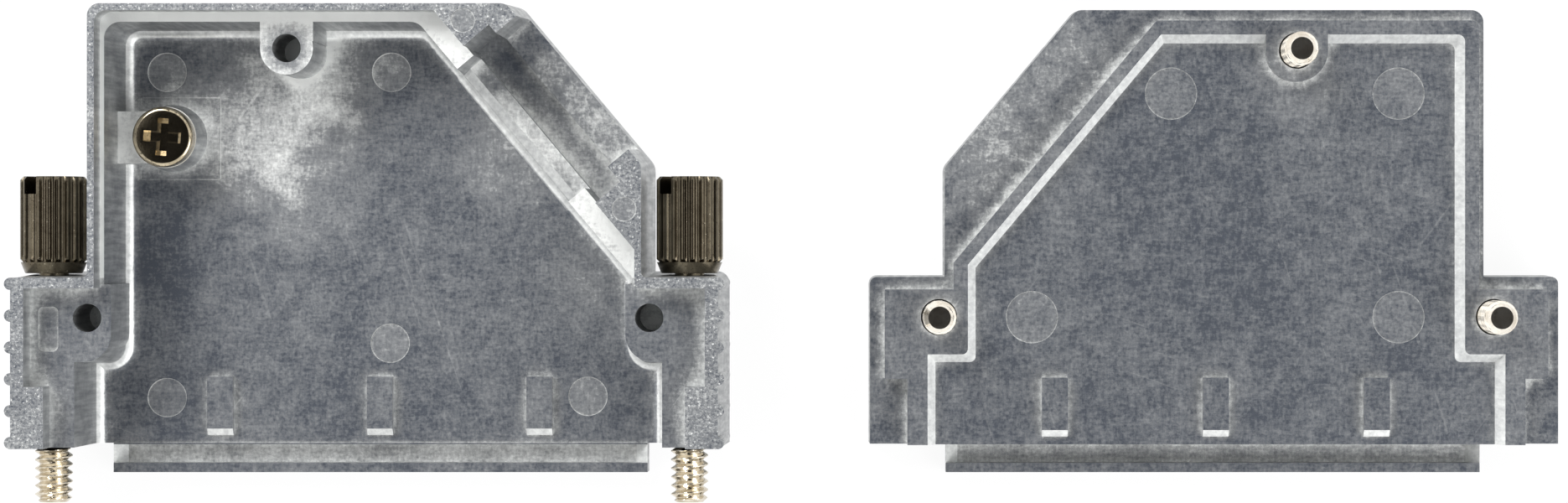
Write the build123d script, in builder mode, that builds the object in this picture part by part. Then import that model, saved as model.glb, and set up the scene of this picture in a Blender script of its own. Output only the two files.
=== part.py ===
from build123d import *
import os
from math import atan2, cos, degrees, radians, sin, tan

os.makedirs("parts", exist_ok=True)

# Two-part die-cast hood for a 25-way D-sub connector, lying open on its outer faces.
# The base half is on the left and the cover, taken off and turned over, on the right.
# Both halves have x = 0 midway between the jackscrews and y = 0 on the connector face.
# Lengths are in millimetres.

# Connector interface
jackscrew_spacing = 47.04
flange_groove_width = 1.4
flange_groove_inset = 0.1
flange_bar_width = 0.7
flange_groove_floor = 1.0
flange_bar_height = 2.3
lip_end_inset = 0.1
groove_end_inset = 0.9

# Outline shared by both halves, at the parting line
ear_end_margin = 2.28
ear_length = 12.5
thumb_head_side_gap = 0.86
body_length = 32.5
cable_side_angle = 50.0
side_wall_length = 8.23
outer_draft = 2.0
body_corner_radius = 0.9
ear_corner_radius = 0.5
outer_edge_chamfer = 0.4

# Grip ribs on the base half's ears
rib_count = 6
rib_end_inset = 0.45
rib_radius = 0.45

# Base half
base_height = 12.2
base_floor = 2.1
ledge_drop = 2.4
rim_width = 0.5
ear_rim_width = 0.95
ear_rim_top = 0.77
ledge_width = 0.72
ledge_side_width = 0.3
slant_rim = 4.35
slant_ledge = 1.55
inner_draft = 2.2
cavity_floor_radius = 0.8
cavity_corner_radius = 1.2
recess_corner_radius = 0.9
mouth_side_step = 1.4
mouth_boss_wall = 3.23
mouth_corner_radius = 1.3
boss_corner_radius = 2.0
ear_block_length = 4.53
ear_block_width = 1.45

# Cover half
cover_band = 3.6
cover_hollow_depth = 1.25
plateau_height = 2.3
seat_clearance = 0.15
seat_end_clearance = 0.4
plateau_slant_gap = 0.75
plateau_ring_width = 1.05
plateau_chamfer_width = 0.6
plateau_slant_width = 0.9
plateau_corner_radius = 0.6
jog_corner_radius = 0.5
cover_jog_clearance = 0.45
cover_mouth_step = 1.3

# Screws that hold the cover down, as places in the base half
screw_side_offset = 0.45
screw_back_inset = 2.97
screw_wall = 1.75
boss_back_wall = 2.47
top_screw_offset = -6.0
top_screw_inset = 3.15
top_boss_radius = 1.95
top_plateau_radius = 2.3
pilot_hole_radius = 1.05
pilot_hole_depth = 6.5
cover_screw_radius = 1.25
cover_screw_length = 8.0
cover_screw_clearance = 0.1
cover_head_radius = 2.2
cover_head_height = 1.4
counterbore_clearance = 0.2
counterbore_depth = 2.0
screw_tip_chamfer = 0.3
screw_drops = {"left": 0.55, "top": 0.3, "right": 0.0}

# Jackscrews with coarse fluted thumb heads
jackscrew_height = 7.6
jackscrew_radius = 1.38
jackscrew_bore_clearance = 0.12
jackscrew_protrusion = 4.1
jackscrew_thread_inside = 0.05
jackscrew_shank_radius = 1.1
thumb_head_radius = 2.46
thumb_head_length = 7.14
thumb_head_gap = 0.3
thumb_collar_length = 0.8
thumb_collar_taper = 0.35
thumb_edge_chamfer = 0.25
flute_count = 21
flute_radius = 0.27
driver_slot_width = 1.0
driver_slot_depth = 1.3

# Small screw in the base that takes a shield or ground lead
ground_screw_side_inset = 4.6
ground_screw_top_inset = 9.6
ground_boss_radius = 2.3
ground_boss_draft = 4.0
ground_boss_height = 3.6
ground_bridge_width = 3.9
ground_bridge_drop = 0.4
ground_pad_left_reach = 2.4
ground_pad_right_reach = 3.5
ground_pad_half_length = 3.05
ground_pad_height = 0.08
ground_head_radius = 2.25
ground_head_height = 1.5
ground_head_edge_radius = 0.35
ground_screw_radius = 1.25
ground_screw_length = 4.5
ground_hole_clearance = 0.05
recess_arm_length = 2.7
recess_arm_width = 0.75
recess_depth = 1.0
recess_turn = -4.0
recess_taper = 12.0

# Cable exit in the slanted side, in lengths along the slant from its upper end
passage_start = 1.2
passage_length = 12.7
passage_sill = 3.3
slot_start = 0.4
slot_length = 14.95
slot_width = 2.4
slot_floor = 2.1
cavity_wall_start = 1.17
cavity_wall_height = 3.7
cavity_wall_slope = 0.9
cavity_wall_lean = 0.45

# Rest pads under the connector and small casting marks
pad_spacing = 12.0
pad_width = 1.93
pad_start = 0.6
pad_length = 4.4
pad_height = 0.8
pad_chamfer = 0.5
ejector_radius = 1.48
ejector_depth = 0.1
ejector_side_inset = 4.1
ejector_top_inset = 4.6
ejector_top_right_x = 0.8
ejector_front_left_y = 3.4
ejector_front_right = (15.6, 3.5)
ejector_middle = (0.7, 7.5)
cover_ejector_radius = 1.95
cover_ejector_side_inset = 6.5
cover_ejector_top_inset = 6.3
cover_ejector_slant_x = -3.3
cover_ejector_front_y = 9.5
block_mark_radius = 0.9
block_mark_depth = 0.08
block_mark_inset = 1.25
block_mark_top_x = 7.2
block_mark_side_y = 17.5
ear_pocket_back_inset = 3.8
ear_pocket_width = 1.5
ear_pocket_length = 3.3
ear_pocket_depth = 0.25
ear_pocket_radius = 0.4

# Places of the two halves on the table
gap_between_halves = 10.49

# Allowances: how deep joined forms sink in, how far cuts run past a face, how near a corner edge is sought
sink = 0.2
past = 1.0
corner_window = 0.8
upright_rise = 0.7

# Sizes that follow from the driving ones
jackscrew_reach = jackscrew_spacing / 2
ear_half_width = jackscrew_reach + ear_end_margin
body_half_width = jackscrew_reach - thumb_head_radius - thumb_head_side_gap
mouth_half_width = body_half_width + mouth_side_step
cover_mouth_half_width = body_half_width + cover_mouth_step
lip_half_length = body_half_width - lip_end_inset
rib_pitch = (ear_length - 2 * rib_end_inset) / (rib_count - 1)
screw_reach = body_half_width + screw_side_offset
screw_line = ear_length - screw_back_inset
mouth_length = screw_line - mouth_boss_wall
cover_jog_length = mouth_length + cover_jog_clearance
ear_pocket_line = ear_length - ear_pocket_back_inset
top_screw_line = body_length - top_screw_inset
ground_screw_x = ground_screw_side_inset - body_half_width
ground_screw_y = body_length - ground_screw_top_inset
ledge_height = base_height - ledge_drop
closed_height = base_height + cover_band
plateau_top = cover_band + plateau_height
cover_floor = plateau_top - cover_hollow_depth
slant_cos = cos(radians(90 - cable_side_angle))
slant_sin = sin(radians(90 - cable_side_angle))
cable_side_reach = body_half_width * slant_cos + (ear_length + side_wall_length) * slant_sin
slant_upper_end = (cable_side_reach - body_length * slant_sin) / slant_cos
slant_start = slant_upper_end * slant_sin - body_length * slant_cos
bore_radius = jackscrew_radius + jackscrew_bore_clearance
lip_width = flange_groove_inset + flange_groove_width + flange_bar_width


def outline(ear_half, ear_top, body_half, body_top, slant_reach, front, side=1):
    """Points of the hood's outline: two ears, the body and its slanted cable side."""
    top_x = (slant_reach - body_top * slant_sin) / slant_cos
    side_y = (slant_reach - body_half * slant_cos) / slant_sin
    points = [
        (ear_half, front),
        (ear_half, ear_top),
        (body_half, ear_top),
        (body_half, side_y),
        (top_x, body_top),
        (-body_half, body_top),
        (-body_half, ear_top),
        (-ear_half, ear_top),
        (-ear_half, front),
    ]
    return points if side > 0 else [(-x, y) for x, y in reversed(points)]


def upright(solid_edges, x, y):
    """The upright or drafted corner edges that stand near a point."""
    found = []
    for edge in solid_edges:
        middle = edge.center()
        near = abs(middle.X - x) < corner_window and abs(middle.Y - y) < corner_window
        if near and abs(edge.tangent_at(0.5).Z) > upright_rise:
            found.append(edge)
    return found


def at(plane, height, x=0.0, y=0.0):
    """A half's plane, raised to a height and moved over to a point."""
    return Plane(origin=plane.from_local_coords((x, y, height)))


def across(plane, y, x=0.0, height=0.0):
    """A plane facing the connector side, with its own y axis pointing up."""
    origin = plane.from_local_coords((x, y, height))
    return Plane(origin=origin, x_dir=(1, 0, 0), z_dir=(0, -1, 0))


def slant_profile(plane, along):
    """A plane square to the slanted side, at a length along it from its upper end."""
    t = slant_start + along
    origin = plane.from_local_coords((t * slant_sin, -t * slant_cos, 0))
    return Plane(origin=origin, x_dir=(slant_cos, slant_sin, 0), z_dir=(slant_sin, -slant_cos, 0))


def slant_plane(plane, height):
    """A level plane whose x axis runs along the slanted side and y axis points out of it."""
    origin = plane.from_local_coords((0, 0, height))
    return Plane(origin=origin, x_dir=(slant_sin, -slant_cos, 0), z_dir=(0, 0, 1))


def slant_point(n, x=None, y=None):
    """The point of a line parallel to the slanted side, n out from the origin, at an x or a y."""
    if x is None:
        return ((n - y * slant_sin) / slant_cos, y)
    return (x, (n - x * slant_cos) / slant_sin)


def drafted(height):
    """How far a half's outer walls lean out between the parting line and the foot."""
    return (height - outer_edge_chamfer) * tan(radians(outer_draft))


def outer_form(height, side=1):
    """A half's drafted outer form in its own frame, cut flat on the connector side."""
    run = drafted(height)
    points = outline(
        ear_half_width + run,
        ear_length + run,
        body_half_width + run,
        body_length + run,
        cable_side_reach + run,
        -lip_width,
        side,
    )
    with BuildPart() as form:
        with BuildSketch(Plane.XY.offset(outer_edge_chamfer)):
            with BuildLine():
                Polyline(*points, close=True)
            make_face()
            body_corners = [v for v in vertices() if v.Y > ear_length + past]
            fillet(body_corners, body_corner_radius + run)
            ear_corners = [v for v in vertices() if abs(v.X) > ear_half_width and v.Y > 0]
            fillet(ear_corners, ear_corner_radius + run)
        extrude(amount=height - outer_edge_chamfer, taper=outer_draft)
        extrude(faces().sort_by(Axis.Z)[0], amount=outer_edge_chamfer, taper=45)
        split(bisect_by=Plane.XZ, keep=Keep.BOTTOM)
    return form.part


def ribs(height):
    """Half-round grip ribs that stand upright on the drafted ends of the ears."""
    rib_places = [(side * ear_half_width, rib_end_inset + i * rib_pitch)
                  for side in (-1, 1) for i in range(rib_count)]
    with BuildPart() as grip:
        with BuildSketch():
            with Locations(*rib_places):
                Circle(rib_radius)
        extrude(amount=height - outer_edge_chamfer)
    return grip.part


def cavity_form(points, rounded, height, draft, floor_radius):
    """A drafted hollow below its opening's outline, with a rounded floor edge, open at the front."""
    with BuildPart() as hollow:
        with BuildSketch():
            with BuildLine():
                Polyline(*points, close=True)
            make_face()
        extrude(amount=-height, taper=draft)
        for radius, places in rounded:
            chosen = []
            for x, y in places:
                chosen += upright(edges(), x, y)
            fillet(chosen, radius)
        if floor_radius:
            fillet(faces().sort_by(Axis.Z)[0].edges(), floor_radius)
        split(bisect_by=Plane.XZ, keep=Keep.BOTTOM)
    return hollow.part


def placed(solid, plane, height=0.0):
    """A form made about a half's own origin, set in its place on the table."""
    return solid.moved(at(plane, height).location)


def lip():
    """The lip in front of the connector face, with the groove that holds the connector's flange."""
    with BuildPart() as front:
        with BuildSketch():
            with Locations((0, -lip_width / 2)):
                Rectangle(2 * lip_half_length, lip_width)
        extrude(amount=flange_bar_height)
        # The groove's ends slope up to the bar's height
        with BuildSketch(across(Plane.XY, -flange_groove_inset)):
            with BuildLine():
                Polyline(
                    (groove_end_inset - lip_half_length, flange_groove_floor),
                    (lip_half_length - groove_end_inset, flange_groove_floor),
                    (lip_half_length, flange_bar_height),
                    (-lip_half_length, flange_bar_height),
                    close=True,
                )
            make_face()
        extrude(amount=flange_groove_width, mode=Mode.SUBTRACT)
    return front.part


def pads(floor):
    """Three rest pads behind the flange groove, sloped down at the front."""
    with BuildPart() as row:
        with BuildSketch(Plane.YZ) as side_view:
            with BuildLine():
                Polyline(
                    (pad_start, floor - sink),
                    (pad_start, floor + pad_height - pad_chamfer),
                    (pad_start + pad_chamfer, floor + pad_height),
                    (pad_start + pad_length, floor + pad_height),
                    (pad_start + pad_length, floor - sink),
                    close=True,
                )
            make_face()
        extrude(amount=pad_width / 2, both=True)
    copies = [row.part.moved(Location((i * pad_spacing, 0, 0))) for i in (-1, 0, 1)]
    return copies


def discs(places, radius, height):
    """Round columns at a list of places."""
    with BuildPart() as marks:
        with BuildSketch():
            with Locations(*places):
                Circle(radius)
        extrude(amount=height)
    return marks.part


def cross_recess():
    """The tool for a cross recess, pointing down from a screw head's face at the origin."""
    with BuildPart() as cross:
        with BuildSketch():
            with Locations(Location((0, 0, 0), (0, 0, recess_turn))):
                Rectangle(recess_arm_length, recess_arm_width)
                Rectangle(recess_arm_width, recess_arm_length)
        extrude(amount=-recess_depth, taper=recess_taper)
    return cross.part


base_reach = ear_half_width + rib_radius
cover_reach = ear_half_width + drafted(cover_band)
half_x = base_reach + cover_reach + gap_between_halves / 2
half_y = -(body_length + drafted(base_height) - jackscrew_protrusion) / 2
base_plane = Plane(origin=(base_reach - half_x, half_y, 0))
cover_plane = Plane(origin=(half_x - cover_reach, half_y, 0))

# Outlines that the base half uses
ear_inner = ear_half_width - ear_rim_width
ear_recess_top = ear_length - ear_rim_top
recess_half = body_half_width - rim_width
recess_top = body_length - rim_width
slant_recess = cable_side_reach - slant_rim
cavity_half = recess_half - ledge_side_width
cavity_top = recess_top - ledge_width
slant_cavity = slant_recess - slant_ledge
boss_edge = screw_reach - screw_wall
boss_back = screw_line + boss_back_wall
cavity_depth = ledge_height - base_floor
front_run = 2 * lip_width

base_cavity_points = [
    (mouth_half_width, -front_run),
    (mouth_half_width, mouth_length),
    (cavity_half, mouth_length),
    slant_point(slant_cavity, x=cavity_half),
    slant_point(slant_cavity, y=cavity_top),
    (-cavity_half, cavity_top),
    (-cavity_half, mouth_length),
    (-mouth_half_width, mouth_length),
    (-mouth_half_width, -front_run),
]
base_ejectors = [
    (ejector_side_inset - body_half_width, body_length - ejector_top_inset),
    (ejector_top_right_x, body_length - ejector_top_inset),
    ejector_middle,
    (ejector_side_inset - body_half_width, ejector_front_left_y),
    ejector_front_right,
]
block_marks = [
    (block_mark_top_x, body_length - block_mark_inset),
    (body_half_width - block_mark_inset, block_mark_side_y),
]
ear_pocket_center = (-jackscrew_reach, ear_pocket_line)
base_screws = [(-screw_reach, screw_line), (top_screw_offset, top_screw_line), (screw_reach, screw_line)]

# Base half
with BuildPart() as base_shell:
    add(placed(outer_form(base_height), base_plane))
    add(placed(ribs(base_height), base_plane, outer_edge_chamfer))

    # Recess for the cover's plateau, down to the ledge
    with BuildSketch(at(base_plane, ledge_height)):
        with BuildLine():
            Polyline(
                *outline(ear_inner, ear_recess_top, recess_half, recess_top, slant_recess, -past),
                close=True,
            )
        make_face()
        with Locations((ear_inner, 0), (-ear_inner, 0)):
            Rectangle(2 * ear_block_width, 2 * ear_block_length, mode=Mode.SUBTRACT)
        corner = vertices().group_by(Axis.Y)[-1].sort_by(Axis.X)[0]
        fillet(corner, recess_corner_radius)
    extrude(amount=ledge_drop, mode=Mode.SUBTRACT)

    # Cavity behind the connector
    rounded_corners = [
        (mouth_corner_radius, [(-cavity_half, mouth_length), (cavity_half, mouth_length)]),
        (cavity_corner_radius, [(-cavity_half, cavity_top), slant_point(slant_cavity, y=cavity_top)]),
    ]
    cavity = cavity_form(base_cavity_points, rounded_corners, cavity_depth, inner_draft, cavity_floor_radius)
    add(placed(cavity, base_plane, ledge_height), mode=Mode.SUBTRACT)

    # Bosses for the cover screws: two stand a little proud of the side walls, one against the far wall
    for side in (-1, 1):
        with BuildSketch(at(base_plane, base_floor - sink)):
            with Locations((side * (boss_edge + mouth_half_width) / 2, (mouth_length + boss_back) / 2)):
                Rectangle(mouth_half_width - boss_edge, boss_back - mouth_length)
            inner = vertices().group_by(Axis.Y)[0].sort_by(Axis.X)[0 if side > 0 else -1]
            fillet(inner, boss_corner_radius)
        extrude(amount=cavity_depth + sink)
    with BuildSketch(at(base_plane, base_floor - sink)):
        with Locations((top_screw_offset, top_screw_line)):
            Circle(top_boss_radius)
        with Locations((top_screw_offset, (top_screw_line + body_length) / 2)):
            Rectangle(2 * top_boss_radius, body_length - top_screw_line - 2 * rim_width)
    extrude(amount=cavity_depth + sink)

    # Boss, bridge and faint pad of the ground screw
    ground_pad_x = ground_screw_x + (ground_pad_right_reach - ground_pad_left_reach) / 2
    with BuildSketch(at(base_plane, base_floor - sink)):
        with Locations((ground_pad_x, ground_screw_y)):
            Rectangle(ground_pad_left_reach + ground_pad_right_reach, 2 * ground_pad_half_length)
    extrude(amount=ground_pad_height + sink)
    with BuildSketch(at(base_plane, base_floor - sink)):
        with Locations((ground_screw_x, ground_screw_y)):
            Circle(ground_boss_radius + ground_boss_height * tan(radians(ground_boss_draft)))
    extrude(amount=ground_boss_height + sink, taper=ground_boss_draft)
    with BuildSketch(at(base_plane, base_floor - sink)):
        with Locations(((ground_screw_x - cavity_half - past) / 2, ground_screw_y)):
            Rectangle(cavity_half + past + ground_screw_x, ground_bridge_width)
    extrude(amount=ground_boss_height - ground_bridge_drop + sink)

    # Holes for the cover screws and the ground screw
    with Locations(*[at(base_plane, ledge_height, x, y) for x, y in base_screws]):
        Hole(pilot_hole_radius, depth=pilot_hole_depth)
    with Locations(at(base_plane, base_floor + ground_boss_height, ground_screw_x, ground_screw_y)):
        Hole(ground_screw_radius + ground_hole_clearance, depth=ground_screw_length + sink)

    # Cable exit: a slot for a strain relief plate, with a passage outwards and one to the cavity
    with BuildSketch(slant_plane(base_plane, slot_floor)):
        with Locations((slant_start + slot_start + slot_length / 2, slant_recess + slot_width / 2)):
            Rectangle(slot_length, slot_width)
    extrude(amount=base_height, mode=Mode.SUBTRACT)
    with BuildSketch(slant_plane(base_plane, passage_sill)):
        with Locations((slant_start + passage_start + passage_length / 2, cable_side_reach)):
            Rectangle(passage_length, 2 * (cable_side_reach - slant_recess - slot_width))
    extrude(amount=base_height, mode=Mode.SUBTRACT)
    with BuildSketch(slant_profile(base_plane, cavity_wall_start)):
        with BuildLine():
            Polyline(
                (slant_recess + sink, ledge_height + past),
                (slant_cavity - cavity_wall_slope, ledge_height + past),
                (slant_cavity - cavity_wall_slope, base_floor),
                (slant_cavity + cavity_wall_lean, cavity_wall_height),
                (slant_recess + sink, cavity_wall_height),
                close=True,
            )
        make_face()
    extrude(amount=passage_length, mode=Mode.SUBTRACT)

    # Jackscrew bores through the ears
    bore_places = [across(base_plane, ear_length + past, side * jackscrew_reach, jackscrew_height)
                   for side in (-1, 1)]
    for bore_place in bore_places:
        with BuildSketch(bore_place):
            Circle(bore_radius)
        extrude(amount=ear_length + 2 * past, mode=Mode.SUBTRACT)

    # Lip for the connector's flange, and its rest pads
    add(placed(lip(), base_plane))
    for pad in pads(base_floor):
        add(placed(pad, base_plane))

    # Ejector marks, and a shallow pocket in the left ear
    floor_marks = discs(base_ejectors, ejector_radius, past)
    add(placed(floor_marks, base_plane, base_floor - ejector_depth), mode=Mode.SUBTRACT)
    rim_marks = discs(block_marks, block_mark_radius, past)
    add(placed(rim_marks, base_plane, base_height - block_mark_depth), mode=Mode.SUBTRACT)
    with BuildSketch(at(base_plane, ledge_height)):
        with Locations(ear_pocket_center):
            RectangleRounded(ear_pocket_width, ear_pocket_length, ear_pocket_radius)
    extrude(amount=-ear_pocket_depth, mode=Mode.SUBTRACT)

base_shell.part.label = "base_shell"
export_step(base_shell.part, "parts/base_shell.step")

# Outlines that the cover uses, mirrored because the cover is turned over to close
plateau_ear = ear_inner - seat_clearance
plateau_ear_top = ear_recess_top - seat_clearance
plateau_half = recess_half - seat_clearance
plateau_end = recess_top - seat_end_clearance
plateau_slant = slant_recess - plateau_slant_gap
ring_half = plateau_half - plateau_ring_width
ring_end = plateau_end - plateau_ring_width
ring_slant = plateau_slant - plateau_slant_width
plateau_step = ear_block_width + seat_end_clearance - seat_clearance
plateau_step_length = ear_block_length + seat_end_clearance
cover_ejector_x = body_half_width - cover_ejector_side_inset
cover_ejectors = [
    (cover_ejector_slant_x, body_length - cover_ejector_top_inset),
    (cover_ejector_x, body_length - cover_ejector_top_inset),
    (-cover_ejector_x, cover_ejector_front_y),
    (cover_ejector_x, cover_ejector_front_y),
]

ring_points = [
    (-cover_mouth_half_width, -front_run),
    (cover_mouth_half_width, -front_run),
    (cover_mouth_half_width, cover_jog_length),
    (ring_half, cover_jog_length),
    (ring_half, ring_end),
    (-slant_point(ring_slant, y=ring_end)[0], ring_end),
    (-ring_half, slant_point(ring_slant, x=ring_half)[1]),
    (-ring_half, cover_jog_length),
    (-cover_mouth_half_width, cover_jog_length),
]
cover_screws = {"left": (-screw_reach, screw_line), "top": (-top_screw_offset, top_screw_line),
                "right": (screw_reach, screw_line)}

# Cover half
with BuildPart() as cover_shell:
    add(placed(outer_form(cover_band, side=-1), cover_plane))

    # Plateau that drops into the base half's recess
    with BuildSketch(at(cover_plane, cover_band - sink)):
        with BuildLine():
            Polyline(
                *outline(plateau_ear, plateau_ear_top, plateau_half, plateau_end, plateau_slant, 0, side=-1),
                close=True,
            )
        make_face()
        with Locations((plateau_ear, 0), (-plateau_ear, 0)):
            Rectangle(2 * plateau_step, 2 * plateau_step_length, mode=Mode.SUBTRACT)
        corner = vertices().group_by(Axis.Y)[-1].sort_by(Axis.X)[-1]
        fillet(corner, plateau_corner_radius)
    extrude(amount=plateau_height + sink)

    # Hollow inside the plateau's ring, with a sloped edge down to the floor
    slope = degrees(atan2(plateau_chamfer_width, cover_hollow_depth))
    ring_corners = [
        (jog_corner_radius, [(side * ring_half, cover_jog_length) for side in (-1, 1)]),
        (plateau_corner_radius, [(ring_half, ring_end)]),
    ]
    hollow = cavity_form(ring_points, ring_corners, cover_hollow_depth, slope, 0)
    add(placed(hollow, cover_plane, plateau_top), mode=Mode.SUBTRACT)

    # Boss for the third screw, joined to the plateau's ring
    with BuildSketch(at(cover_plane, cover_floor - sink)):
        with Locations((-top_screw_offset, top_screw_line)):
            Circle(top_plateau_radius)
        with Locations((-top_screw_offset, (top_screw_line + ring_end + plateau_ring_width / 2) / 2)):
            Rectangle(2 * top_plateau_radius, ring_end + plateau_ring_width / 2 - top_screw_line)
    extrude(amount=cover_hollow_depth + sink)

    # Clearance holes for the screws, counterbored from the outer face
    with BuildSketch(at(cover_plane, 0)):
        with Locations(*cover_screws.values()):
            Circle(cover_screw_radius + cover_screw_clearance)
    extrude(amount=closed_height, mode=Mode.SUBTRACT)
    with BuildSketch(at(cover_plane, 0)):
        with Locations(*cover_screws.values()):
            Circle(cover_head_radius + counterbore_clearance)
    extrude(amount=counterbore_depth, mode=Mode.SUBTRACT)

    # Lip, rest pads and ejector marks
    add(placed(lip(), cover_plane))
    for pad in pads(cover_floor):
        add(placed(pad, cover_plane))
    marks = discs(cover_ejectors, cover_ejector_radius, past)
    add(placed(marks, cover_plane, cover_floor - ejector_depth), mode=Mode.SUBTRACT)

cover_shell.part.label = "cover_shell"
export_step(cover_shell.part, "parts/cover_shell.step")


def machine_screw(head_radius, head_height, shank_radius, shank_length, edge_radius):
    """A cheese-head screw with a cross recess, its head's seat at the origin and its tip below."""
    with BuildPart() as screw:
        with BuildSketch():
            Circle(head_radius)
        extrude(amount=head_height)
        fillet(edges().sort_by(Axis.Z)[-1], edge_radius)
        with BuildSketch():
            Circle(shank_radius)
        extrude(amount=-shank_length)
        chamfer(edges().sort_by(Axis.Z)[0], screw_tip_chamfer)
        add(cross_recess().moved(Location((0, 0, head_height))), mode=Mode.SUBTRACT)
    return screw.part


# Cover screws, held in the cover with their tips up and more or less pushed through
cover_screw = machine_screw(
    cover_head_radius,
    cover_head_height,
    cover_screw_radius,
    cover_screw_length,
    ground_head_edge_radius,
)
for place, (x, y) in cover_screws.items():
    seat = at(cover_plane, counterbore_depth - screw_drops[place], x, y)
    turned_over = Plane(origin=seat.origin, x_dir=(1, 0, 0), z_dir=(0, 0, -1))
    with BuildPart() as placed_screw:
        add(cover_screw.moved(turned_over.location))
    placed_screw.part.label = f"cover_screw_{place}"
    export_step(placed_screw.part, f"parts/cover_screw_{place}.step")

# Ground screw, seated on its boss in the base half
with BuildPart() as ground_screw:
    head = machine_screw(
        ground_head_radius,
        ground_head_height,
        ground_screw_radius,
        ground_screw_length,
        ground_head_edge_radius,
    )
    add(placed(head, at(base_plane, 0, ground_screw_x, ground_screw_y), base_floor + ground_boss_height))
ground_screw.part.label = "ground_screw"
export_step(ground_screw.part, "parts/ground_screw.step")


def thumbscrew():
    """A jackscrew along its own z axis, with z = 0 at the connector face and the head towards +z."""
    head_start = ear_length + thumb_head_gap
    head_end = head_start + thumb_head_length
    with BuildPart() as screw:
        with BuildSketch(Plane.XZ):
            with BuildLine():
                Polyline(
                    (0, -jackscrew_protrusion),
                    (jackscrew_radius - screw_tip_chamfer, -jackscrew_protrusion),
                    (jackscrew_radius, screw_tip_chamfer - jackscrew_protrusion),
                    (jackscrew_radius, jackscrew_thread_inside),
                    (jackscrew_shank_radius, jackscrew_thread_inside + screw_tip_chamfer),
                    (jackscrew_shank_radius, head_start),
                    (thumb_head_radius - thumb_collar_taper, head_start),
                    (thumb_head_radius, head_start + thumb_collar_length),
                    (thumb_head_radius, head_end - thumb_edge_chamfer),
                    (thumb_head_radius - thumb_edge_chamfer, head_end),
                    (0, head_end),
                    close=True,
                )
            make_face()
        revolve(axis=Axis.Z)
        # Straight flutes that end at the collar
        with BuildSketch(Plane.XY.offset(head_start + thumb_collar_length)):
            with PolarLocations(thumb_head_radius, flute_count):
                Circle(flute_radius)
        extrude(amount=thumb_head_length, mode=Mode.SUBTRACT)
        # Driver slot across the end
        with BuildSketch(Plane.XY.offset(head_end)):
            Rectangle(driver_slot_width, 4 * thumb_head_radius)
        extrude(amount=-driver_slot_depth, mode=Mode.SUBTRACT)
    return screw.part


# Two captive jackscrews through the base half's ears
jackscrew_solid = thumbscrew()
for name, side in (("left", -1), ("right", 1)):
    axis_foot = base_plane.from_local_coords((side * jackscrew_reach, 0, jackscrew_height))
    axis_plane = Plane(origin=axis_foot, x_dir=(1, 0, 0), z_dir=(0, 1, 0))
    with BuildPart() as placed_jackscrew:
        add(jackscrew_solid.moved(axis_plane.location))
    placed_jackscrew.part.label = f"thumbscrew_{name}"
    export_step(placed_jackscrew.part, f"parts/thumbscrew_{name}.step")
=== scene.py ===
"""Looks of an open die-cast connector hood: zinc castings, plated screws and a white studio."""

import math

import bmesh
import bpy
from mathutils import Matrix, Vector


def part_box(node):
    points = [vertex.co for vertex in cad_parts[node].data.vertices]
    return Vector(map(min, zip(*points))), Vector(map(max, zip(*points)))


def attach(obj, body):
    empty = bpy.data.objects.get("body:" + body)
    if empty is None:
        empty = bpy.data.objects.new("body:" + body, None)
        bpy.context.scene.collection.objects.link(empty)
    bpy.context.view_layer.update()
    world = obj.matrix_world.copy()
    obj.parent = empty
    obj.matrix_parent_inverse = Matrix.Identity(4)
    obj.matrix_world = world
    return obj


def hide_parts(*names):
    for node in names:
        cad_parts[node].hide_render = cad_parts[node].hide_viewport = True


bl_info = {
    "name": "Connector Hood Looks",
    "version": (1, 0, 0),
    "blender": (4, 5, 0),
    "location": "View3D > Sidebar > Hood",
    "description": "Dresses an open die-cast connector hood and its screws",
    "category": "Object",
}

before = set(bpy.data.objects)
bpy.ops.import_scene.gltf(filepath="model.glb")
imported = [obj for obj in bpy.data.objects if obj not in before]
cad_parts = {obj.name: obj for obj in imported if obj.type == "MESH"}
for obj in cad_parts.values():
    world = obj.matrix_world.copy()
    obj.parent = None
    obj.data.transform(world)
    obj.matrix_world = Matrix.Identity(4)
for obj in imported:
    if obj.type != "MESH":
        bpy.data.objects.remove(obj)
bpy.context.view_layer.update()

MM = 0.001

# The photograph's frame, and the point of it that lies straight under the lens
IMAGE_WIDTH = 1871
LENS_AXIS_PX = 1056
FOCAL_PX = 4911
LENS_HEIGHT_MM = 312.2
BASE_CENTRE_FROM_LENS_MM = -37.98
SENSOR_WIDTH = 36.0

# Castings, in millimetres, as the model has them
TALLEST = 13.0
RIM_HEIGHT = 12.2
LIP_WIDTH = 2.2
EAR_LENGTH = 12.5

# Jackscrews, in millimetres along the screw from the ears' front face
JACKSCREW_TIP = -4.1
JACKSCREW_RADIUS = 1.38
JACKSCREW_THREAD = 4.15
JACKSCREW_TIP_BEVEL = 0.35
SHANK_RADIUS = 1.1
HEAD_START = 12.8
HEAD_LENGTH = 7.14
HEAD_RADIUS = 2.46
HEAD_BEVEL = 0.25
COLLAR_LENGTH = 0.8
COLLAR_FOOT_RADIUS = 2.11
COLLAR_TOP_RADIUS = 2.42
COLLAR_FOOT_BEVEL = (0.05, 0.04)
DRIVER_SLOT = (1.0, 1.3)
JACKSCREW_TURNS = {"left": -0.65, "right": -0.83}

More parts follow.
